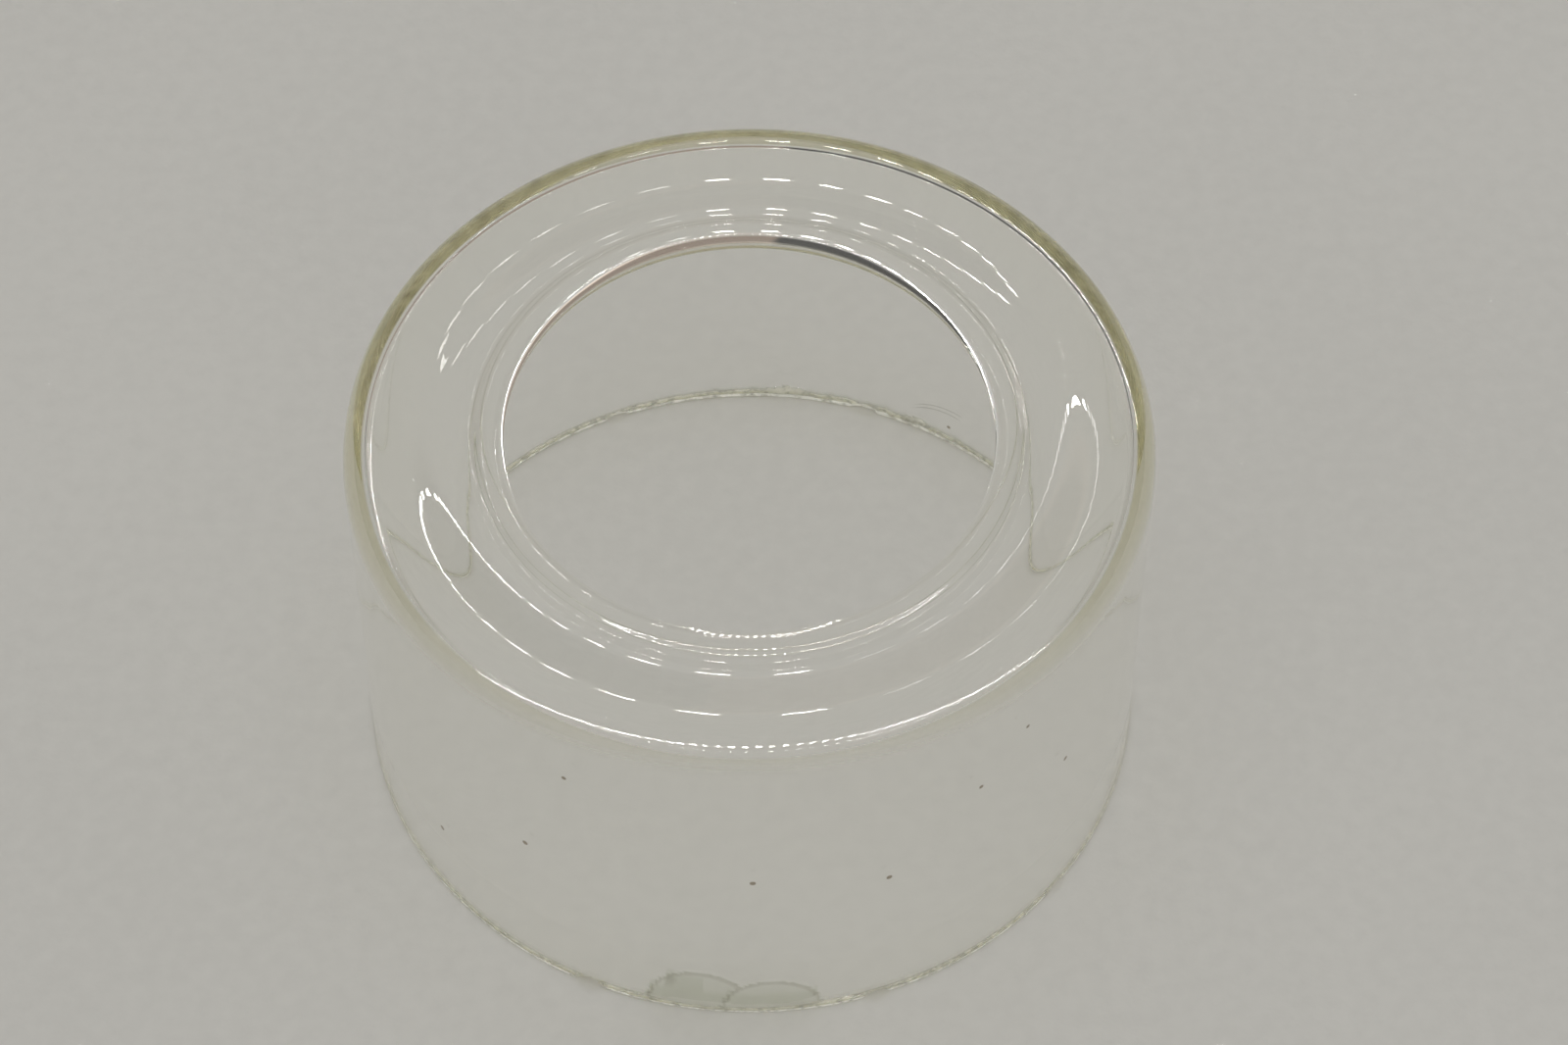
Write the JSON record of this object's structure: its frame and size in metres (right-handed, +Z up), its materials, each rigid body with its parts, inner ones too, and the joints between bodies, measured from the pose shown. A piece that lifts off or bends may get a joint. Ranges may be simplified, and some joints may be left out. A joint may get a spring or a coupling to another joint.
{
  "type": "crystallizing dish",
  "caption": "Straight-walled clear glass dish body stood mouth down, its rounded heel turning into a ring with a beaded open centre, for passing, holding or covering samples.",
  "frame": {"origin": "on the axis of the dish, in the plane of the cut rim it stands on", "axes": "+Z up along the axis, from the cut rim towards the heel and the beaded opening; -Y towards the flake scar on the rim"},
  "size_m": [0.095, 0.095, 0.0545],
  "materials": {
    "clear_glass": "clear, faintly yellow-green in the thick, with a rough-cut rim"
  },
  "bodies": {
    "root": {"glass_body": "clear_glass"}
  },
  "joints": []
}
